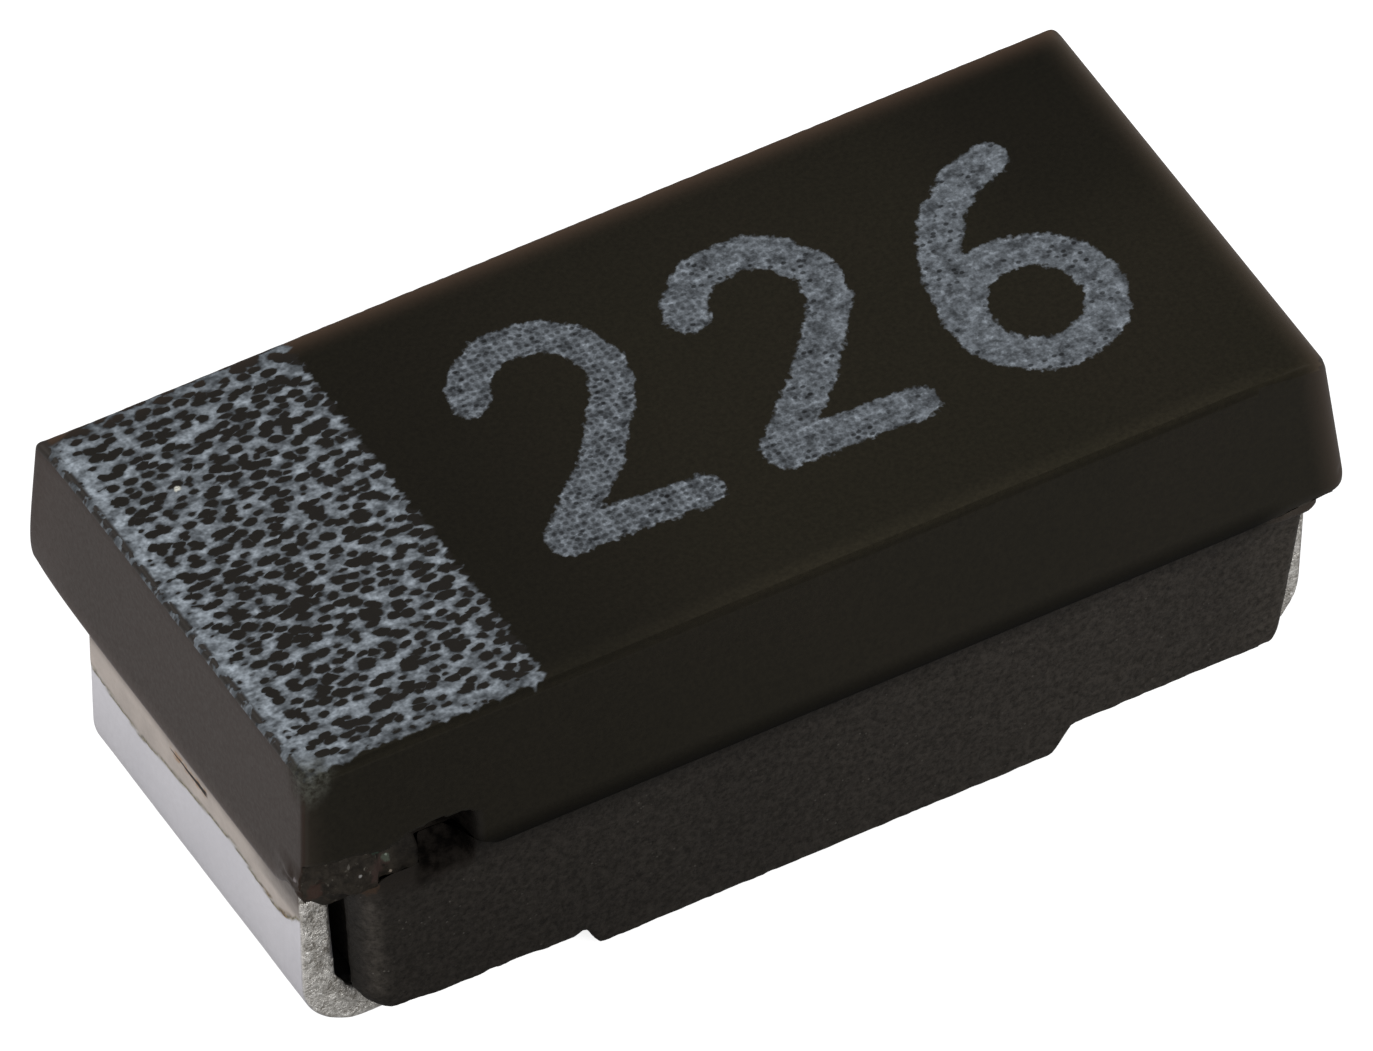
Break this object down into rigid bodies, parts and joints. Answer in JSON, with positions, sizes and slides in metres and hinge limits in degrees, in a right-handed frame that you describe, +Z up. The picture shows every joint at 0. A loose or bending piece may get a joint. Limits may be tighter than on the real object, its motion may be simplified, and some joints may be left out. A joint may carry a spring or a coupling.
{
  "type": "tantalum capacitor",
  "caption": "Moulded solid tantalum chip capacitor, low rectangular epoxy body with an overhanging upper half, polarity band and J-shaped lead frames folded under both ends.",
  "frame": {"origin": "under the middle of the moulded case, on the solder plane that the two feet rest on", "axes": "+X along the length from the anode (banded) end to the cathode end, +Y across the width, +Z up through the marked top face"},
  "size_m": [0.0032, 0.0016, 0.0012],
  "materials": {
    "epoxy": "satin moulded epoxy, upper half smooth, lower half rough",
    "plated_strip": "dull tin plating over nickel-iron strip",
    "sintered_tantalum": "porous matte grey",
    "tantalum_wire": "drawn wire",
    "fluoropolymer": "waxy white",
    "manganese_dioxide": "matte black",
    "graphite": "soft dark grey",
    "silver_paint": "matte silver",
    "silver_epoxy": "matte grey"
  },
  "bodies": {
    "root": {"moulded_case": "epoxy", "anode_terminal": "plated_strip", "cathode_terminal": "plated_strip", "anode_pellet": "sintered_tantalum", "anode_wire": "tantalum_wire", "insulating_washer": "fluoropolymer", "electrolyte_coat": "manganese_dioxide", "graphite_coat": "graphite", "silver_coat": "silver_paint", "silver_adhesive": "silver_epoxy"}
  },
  "joints": []
}
